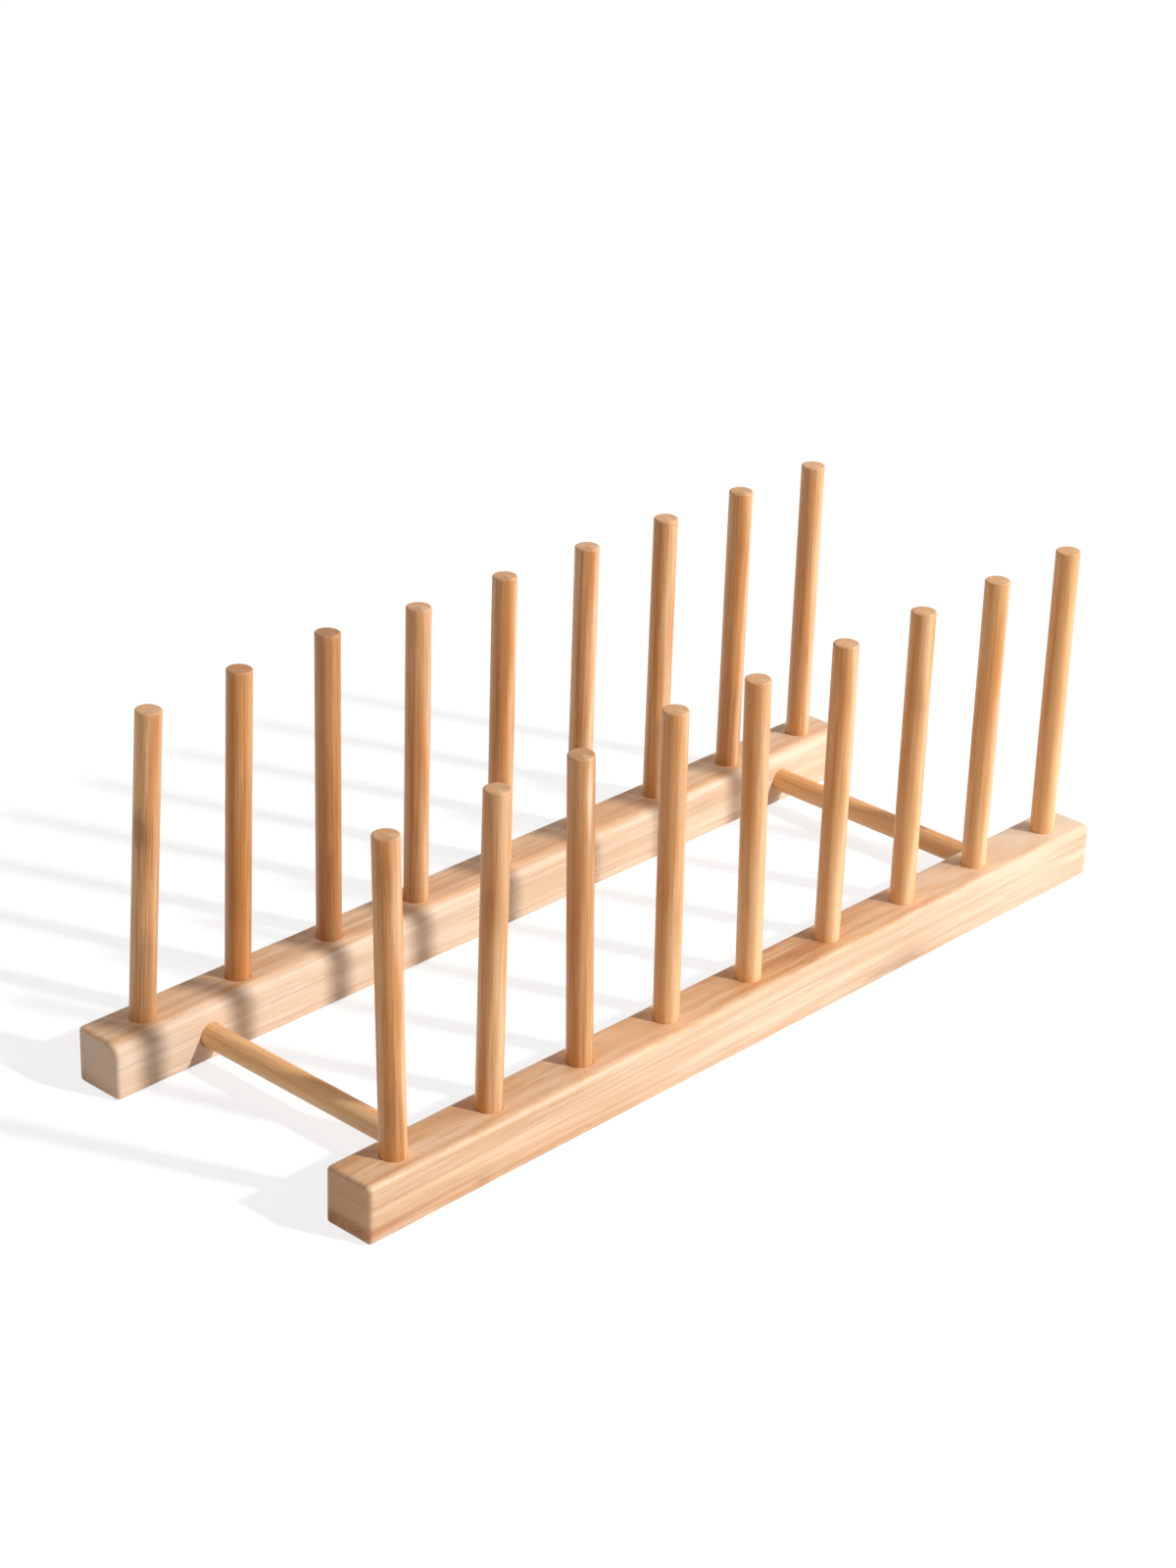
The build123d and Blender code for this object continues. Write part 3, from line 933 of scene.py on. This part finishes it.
def buildRail(node, name, rodNodes):
    # The section at each station makes a grid of points, stations by outline. A block of its faces
    # is left out at each bore, and rings close the way down to the bore's floor.
    low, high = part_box(node)
    length, width, height = [(high[k] - low[k]) / mm for k in range(3)]
    middle = (high[1] + low[1]) / 2 / mm
    isFront = middle < 0
    turn = 1 if isFront else -1  # the inner side faces +Y on the front rail, -Y on the back
    spin = np.array([turn, turn, 1.0])
    seat = np.array([0.0, middle, 0.0])
    reach = (length / 2, width / 2, height)
    seed = railLook["seeds"][node][0]
    edgeRound = railLook["edgeRound"]
    innerTop, outerTop = ((edgeRound, railLook["frontTopRound"]) if isFront else
                          (railLook["backTopRound"], edgeRound))

    def edgeRadius(along, corner, size):
        # Narrowest at size * (1 - share), where the wandering line is at its top.
        share = railLook["largeVaries" if size > railLook["largeRound"] else "roundVaries"]
        swing = wander(along, seed * 10 + corner, railLook["roundWaves"])
        return size * (1 - share * (0.5 + 0.5 * swing))

    def faceLevel(ring, q, n):
        # Where a face square to axis n lies, which the inner top round eases on the way along q.
        radius = edgeRadius(ring[:, 0], 1, innerTop)
        return reach[n] - fallOff(ring[:, q] - (reach[q] - radius), radius)

    bores = [findBore(rodNode, seat, spin, width / 2, height) for rodNode in rodNodes]
    places, drawn, shrunk = railStations(length, [(bore["mouth"][0], *bore["block"][:2]) for bore in bores])
    rounds = [edgeRadius(places, k, size)[:, None]
              for k, size in enumerate((edgeRound, innerTop, outerTop, edgeRound))]
    across, up, eased = railSection(width, height, rounds, drawn[:, None])
    across = across * shrunk[:, None]
    up = height / 2 + (up - height / 2) * shrunk[:, None]
    grid = np.stack([np.broadcast_to(places[:, None], across.shape), across, up], -1)
    points, quads, tris = stackRings(grid, [-length / 2, 0, height / 2], [length / 2, 0, height / 2])
    onEnd = railLook["endEased"] * np.clip(drawn / railLook["endRound"], 0, 1)
    edge = np.maximum(eased, onEnd[:, None]) * (shrunk == 1)[:, None]
    keep = np.ones(quads.shape[:2], bool)
    faces = []
    for bore in bores:
        added, closing = cutBore(bore, grid, keep, len(points), faceLevel)
        points = np.concatenate([points, added])
        faces += closing
    edge = np.append(edge.ravel(), np.zeros(len(points) - edge.size))
    faces = quads[keep].tolist() + tris.tolist() + faces
    grainPlace = points + np.array([seed * railLook["grainSpread"], 0.0, railLook["layerShift"][node]])
    points = points * spin + seat
    tone, shares = railTints(node, points, length, height)
    piece = makePiece(name, points, faces, grainPlace, np.array([1.0, 0.0, 0.0]), edge, tone, shares,
                      railBamboo)
    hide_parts(node)
    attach(piece, "root")


dowelNodes = ["near_cross_dowel", "far_cross_dowel"]
for rowName in ("front", "back"):
    pegNodes = [f"{rowName}_peg_{number}" for number in range(1, 10)]
    buildRail(rowName + "_rail", rowName + "Rail", pegNodes + dowelNodes)
print("rails built")

# Floor, light and camera.

stageLook = {
    "floorColour": srgb(234, 233, 231),
    "floorPoints": 64,
    "floorReach": 14.0,  # m
    "floorGap": 0.00005,  # m below the rails, so that the two faces don't fight
    "shadowShare": 0.36,  # how much of the lit floor the camera sees
    "whiteShare": 0.78,  # the rest is plain white light to the camera only
    "fillStrength": 0.27,
    "fillFrom": -150.0,  # degrees, the side that most of the fill comes from
    "fillLeans": 0.8,  # share by which the fill is stronger from there
    "keyFrom": (23.0, 33.0),  # azimuth and elevation of the key light, degrees
    "keyStrength": 0.88,  # 1 renders a white sheet facing it as white
    "keySoftness": 3.0,  # degrees across, as seen from the rack
    "softboxPlace": (0.66, -0.54, 0.5),
    "softboxSize": 0.28,
    "softboxWatts": 2.8,
}


def cameraSees(tree):
    # 1 for what the camera sees straight, in a reflection or through glass.
    path = put(tree, "LightPath").outputs
    seen = calc(tree, "MAXIMUM", path["Is Camera Ray"], path["Is Glossy Ray"])
    return calc(tree, "MAXIMUM", seen, path["Is Transmission Ray"])


def buildFloor():
    # A flat disc: one ring of points round a middle.
    count = stageLook["floorPoints"]
    angle = np.arange(count) / count * 2 * np.pi
    rim = np.stack([np.cos(angle), np.sin(angle), 0 * angle], -1) * stageLook["floorReach"]
    points = np.concatenate([rim, [[0, 0, 0]]])
    points[:, 2] = -stageLook["floorGap"]
    mesh = bpy.data.meshes.new("floor")
    mesh.from_pydata(points, [], fanFaces(np.arange(count), count).tolist())
    floor = addObject("floor", mesh)
    material = bpy.data.materials.new("floorPaper")
    tree = emptyTree(material)
    paper = put(tree, "BsdfDiffuse", {"Color": stageLook["floorColour"]})
    glow = put(tree, "Emission", {"Color": (1, 1, 1, 1), "Strength": stageLook["whiteShare"]})
    dark = put(tree, "BsdfDiffuse", {"Color": (0, 0, 0, 1)})
    shadowed = put(tree, "MixShader", {0: stageLook["shadowShare"], 1: dark.outputs[0], 2: paper.outputs[0]})
    seen = put(tree, "AddShader", {0: shadowed.outputs[0], 1: glow.outputs[0]})
    shown = put(tree, "MixShader", {0: cameraSees(tree), 1: paper.outputs[0], 2: seen.outputs[0]})
    put(tree, "OutputMaterial", {"Surface": shown.outputs[0]})
    mesh.materials.append(material)


def buildLight():
    world = bpy.data.worlds.new("studio")
    bpy.context.scene.world = world
    tree = emptyTree(world)
    azimuth = math.radians(stageLook["fillFrom"])
    toward = (math.sin(azimuth), -math.cos(azimuth), 0.0)
    direction = put(tree, "TexCoord").outputs["Generated"]
    side = put(tree, "VectorMath", {0: direction, 1: toward}, operation="DOT_PRODUCT").outputs["Value"]
    fill = stageLook["fillStrength"]
    fill = addUp(tree, fill, (side, fill * stageLook["fillLeans"]))
    strength = put(tree, "Mix", {0: cameraSees(tree), 2: fill, 3: 1.0}, data_type="FLOAT")
    background = put(tree, "Background", {"Color": (1, 1, 1, 1), "Strength": strength.outputs[0]})
    put(tree, "OutputWorld", {"Surface": background.outputs[0]})

    key = bpy.data.lights.new("keyLight", "SUN")
    key.energy = stageLook["keyStrength"] * math.pi
    key.angle = math.radians(stageLook["keySoftness"])
    azimuth, elevation = (math.radians(degrees) for degrees in stageLook["keyFrom"])
    addObject("keyLight", key).rotation_euler = (math.pi / 2 - elevation, 0, azimuth)

    softbox = bpy.data.lights.new("softbox", "AREA")
    softbox.size = stageLook["softboxSize"]
    softbox.energy = stageLook["softboxWatts"]
    place = np.array(stageLook["softboxPlace"])
    away = place / np.linalg.norm(place)
    right = np.cross([0, 0, 1], away)
    right /= np.linalg.norm(right)
    softboxObject = addObject("softbox", softbox)
    softboxObject.location = place
    toRack = Matrix(np.stack([right, np.cross(away, right), away], 1).tolist())
    softboxObject.rotation_euler = toRack.to_euler()


# The photograph's view: found by matching the rack's edges, in metres and degrees.
cameraLook = {
    "place": (-0.7317, -0.6582, 0.5323),
    "turn": -47.395,  # about the upright, from looking along +Y
    "tilt": 25.326,  # below the horizon
    "roll": 1.903,
    "focalPixels": 3504.2,  # on a frame 1600 pixels high
    "frameHeight": 1600,
    "sensor": 36.0,  # mm
    "sees": (0.05, 60.0),  # m, nearest and farthest
}


def buildCamera():
    camera = bpy.data.cameras.new("camera")
    camera.sensor_width = cameraLook["sensor"]
    camera.lens = cameraLook["focalPixels"] / cameraLook["frameHeight"] * camera.sensor_width
    camera.clip_start, camera.clip_end = cameraLook["sees"]
    turn, tilt, roll = (math.radians(cameraLook[k]) for k in ("turn", "tilt", "roll"))
    right = np.array([math.cos(turn), math.sin(turn), 0.0])
    ahead = np.array([-math.sin(turn) * math.cos(tilt), math.cos(turn) * math.cos(tilt), -math.sin(tilt)])
    upward = np.cross(right, ahead)
    rolledRight = right * math.cos(roll) + upward * math.sin(roll)
    rolledUp = upward * math.cos(roll) - right * math.sin(roll)
    turned = Matrix(np.stack([rolledRight, rolledUp, -ahead], 1).tolist()).to_4x4()
    cameraObject = addObject("camera", camera)
    cameraObject.matrix_world = Matrix.Translation(cameraLook["place"]) @ turned
    bpy.context.scene.camera = cameraObject


buildFloor()
buildLight()
buildCamera()
bpy.context.scene.view_settings.view_transform = "Standard"
print("floor, light and camera set")
